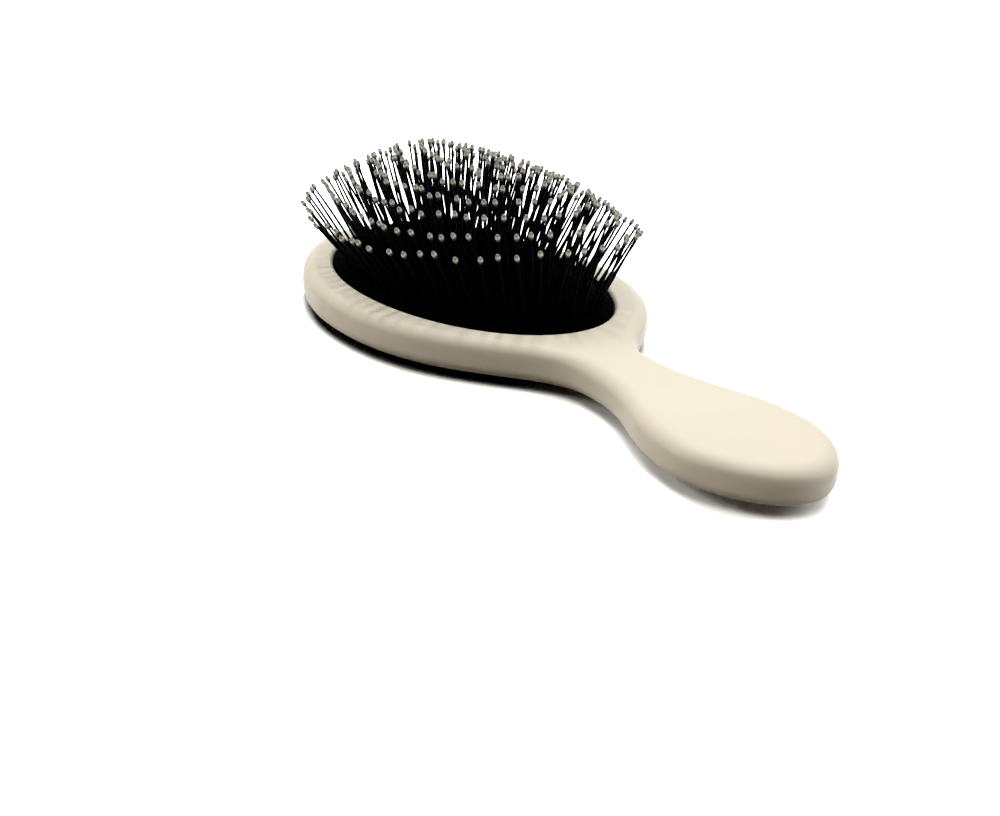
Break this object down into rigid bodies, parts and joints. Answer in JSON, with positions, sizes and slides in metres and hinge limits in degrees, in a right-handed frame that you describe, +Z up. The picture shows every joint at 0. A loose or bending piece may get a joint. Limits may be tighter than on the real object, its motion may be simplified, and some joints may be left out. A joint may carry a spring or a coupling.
{
  "type": "oval cushion brush",
  "caption": "Oval hairbrush with a short spoon-shaped handle, a soft-touch shell and a domed black rubber pad that carries fanned, ball-tipped pins.",
  "frame": {"origin": "under the middle of the brush's length and width, on the surface that its back lies on", "axes": "+X along the brush to the end of the handle, +Y across, +Z up through the pins"},
  "size_m": [0.1378, 0.062, 0.0323],
  "materials": {
    "shell": "cream soft-touch coating, satin",
    "back": "cream soft-touch coating, satin",
    "pad": "matt black rubber",
    "pins": "black nylon, satin",
    "tips": "grey-beige epoxy drops, satin"
  },
  "bodies": {
    "root": {"front_shell": "shell", "back_shell": "back", "cushion_edge": "pad"},
    "pad_middle": {"pins_middle_row": "pins"},
    "pad_row1": {"pins_row1_arc1": "pins", "pins_row1_arc2": "pins", "pins_row1_arc3": "pins", "pins_row1_arc4": "pins", "pins_row1_arc5": "pins", "pins_row1_arc6": "pins"},
    "pad_row2": {"pins_row2_arc1": "pins", "pins_row2_arc2": "pins", "pins_row2_arc3": "pins", "pins_row2_arc4": "pins", "pins_row2_arc5": "pins", "pins_row2_arc6": "pins"},
    "pad_row3": {"pins_row3_arc1": "pins", "pins_row3_arc2": "pins", "pins_row3_arc3": "pins", "pins_row3_arc4": "pins"},
    "pad_row4": {"pins_row4_arc1": "pins", "pins_row4_arc2": "pins", "pins_row4_arc3": "pins", "pins_row4_arc4": "pins"},
    "pad_row5": {"pins_row5_arc1": "pins", "pins_row5_arc2": "pins", "pins_row5_arc3": "pins", "pins_row5_arc4": "pins"},
    "pad_row6": {"pins_row6_arc1": "pins", "pins_row6_arc2": "pins"}
  },
  "joints": [
    {"name": "press_middle", "type": "slide", "parent": "root", "child": "pad_middle", "axis": [0, 0, 1], "range_m": [-0.0045, 0], "stiffness_N_per_m": 400},
    {"name": "press_row1", "type": "slide", "parent": "root", "child": "pad_row1", "axis": [0, 0, 1], "range_m": [-0.00107, 0], "stiffness_N_per_m": 400},
    {"name": "press_row2", "type": "slide", "parent": "root", "child": "pad_row2", "axis": [0, 0, 1], "range_m": [-0.00221, 0], "stiffness_N_per_m": 400},
    {"name": "press_row3", "type": "slide", "parent": "root", "child": "pad_row3", "axis": [0, 0, 1], "range_m": [-0.0031, 0], "stiffness_N_per_m": 400},
    {"name": "press_row4", "type": "slide", "parent": "root", "child": "pad_row4", "axis": [0, 0, 1], "range_m": [-0.00377, 0], "stiffness_N_per_m": 400},
    {"name": "press_row5", "type": "slide", "parent": "root", "child": "pad_row5", "axis": [0, 0, 1], "range_m": [-0.00421, 0], "stiffness_N_per_m": 400},
    {"name": "press_row6", "type": "slide", "parent": "root", "child": "pad_row6", "axis": [0, 0, 1], "range_m": [-0.00445, 0], "stiffness_N_per_m": 400}
  ],
  "couplings": [
    {"joint": "press_row1", "follows": "press_middle", "ratio": 0.2376},
    {"joint": "press_row2", "follows": "press_middle", "ratio": 0.4904},
    {"joint": "press_row3", "follows": "press_middle", "ratio": 0.6891},
    {"joint": "press_row4", "follows": "press_middle", "ratio": 0.8362},
    {"joint": "press_row5", "follows": "press_middle", "ratio": 0.9344},
    {"joint": "press_row6", "follows": "press_middle", "ratio": 0.9878}
  ]
}
